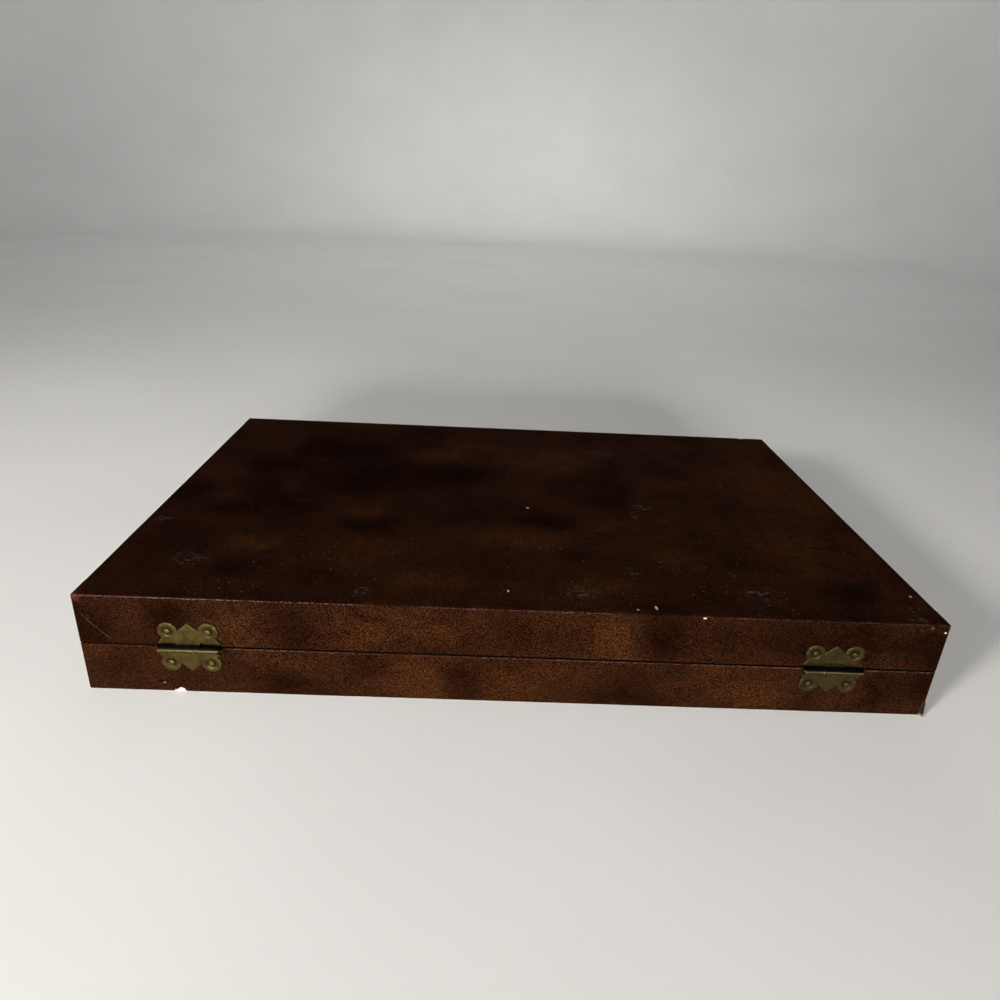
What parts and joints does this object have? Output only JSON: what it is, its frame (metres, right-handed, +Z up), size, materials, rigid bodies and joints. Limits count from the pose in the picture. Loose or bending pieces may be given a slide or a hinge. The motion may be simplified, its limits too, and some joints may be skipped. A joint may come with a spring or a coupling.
{
  "type": "backgammon board",
  "caption": "Folding backgammon case covered in grained leatherette, closed, with brass hinges, swinging hasps, inlaid points, tray, checkers, dice and cups inside.",
  "frame": {"origin": "centre of the base's underside, on the surface that the case lies on", "axes": "+X along the case, to the right as seen from the hinged side; +Y from the hinged side to the latch side; +Z up through the lid"},
  "size_m": [0.38, 0.2578, 0.049],
  "materials": {
    "leatherette": "semi-gloss grained",
    "wood": "matte",
    "hardboard": "matte",
    "rail_wood": "satin",
    "brass": "aged",
    "field_felt": "matte",
    "dark_inlay": "matte",
    "light_inlay": "matte",
    "light_checker": "gloss",
    "dark_checker": "gloss",
    "ivory": "gloss",
    "cup_leather": "semi-gloss grained"
  },
  "bodies": {
    "base": {"base_floor_panel": "hardboard", "base_underside_sheet": "leatherette", "base_side_cover": "leatherette", "base_hinge_wall": "wood", "base_latch_wall": "wood", "base_left_wall": "wood", "base_right_wall": "wood", "base_field": "field_felt", "base_points_dark": "dark_inlay", "base_points_light": "light_inlay", "base_tray_rail": "rail_wood", "base_tray_divider": "rail_wood", "base_tray_lining": "field_felt", "hinge_leaf_base_left": "brass", "hinge_pin_left": "brass", "hasp_plate_left": "brass", "hasp_pin_left": "brass", "hinge_leaf_base_right": "brass", "hinge_pin_right": "brass", "hasp_plate_right": "brass", "hasp_pin_right": "brass", "hinge_nails_base": "brass", "latch_nails_base": "brass", "checkers_light": "light_checker", "checkers_dark": "dark_checker", "dice": "ivory", "doubling_cube": "ivory", "dice_cup_left": "cup_leather", "dice_cup_right": "cup_leather"},
    "lid": {"lid_top_panel": "hardboard", "lid_top_sheet": "leatherette", "lid_side_cover": "leatherette", "lid_hinge_wall": "wood", "lid_latch_wall": "wood", "lid_left_wall": "wood", "lid_right_wall": "wood", "lid_field": "field_felt", "lid_points_dark": "dark_inlay", "lid_points_light": "light_inlay", "lid_tray_rail": "rail_wood", "lid_tray_divider": "rail_wood", "lid_tray_lining": "field_felt", "hinge_leaf_lid_left": "brass", "keeper_plate_left": "brass", "hinge_leaf_lid_right": "brass", "keeper_plate_right": "brass", "hinge_nails_lid": "brass", "latch_nails_lid": "brass", "keeper_studs": "brass"},
    "hasp_left": {"hasp_left": "brass"},
    "hasp_right": {"hasp_right": "brass"}
  },
  "joints": [
    {"name": "lid_hinge", "type": "hinge", "parent": "base", "child": "lid", "pos_m": [0, -0.1271, 0.0245], "axis": [1, 0, 0], "range_deg": [0, 180]},
    {"name": "hasp_left_hinge", "type": "hinge", "parent": "base", "child": "hasp_left", "pos_m": [-0.142, 0.1271, 0.0213], "axis": [1, 0, 0], "range_deg": [0, 180]},
    {"name": "hasp_right_hinge", "type": "hinge", "parent": "base", "child": "hasp_right", "pos_m": [0.142, 0.1271, 0.0213], "axis": [1, 0, 0], "range_deg": [0, 180]}
  ]
}
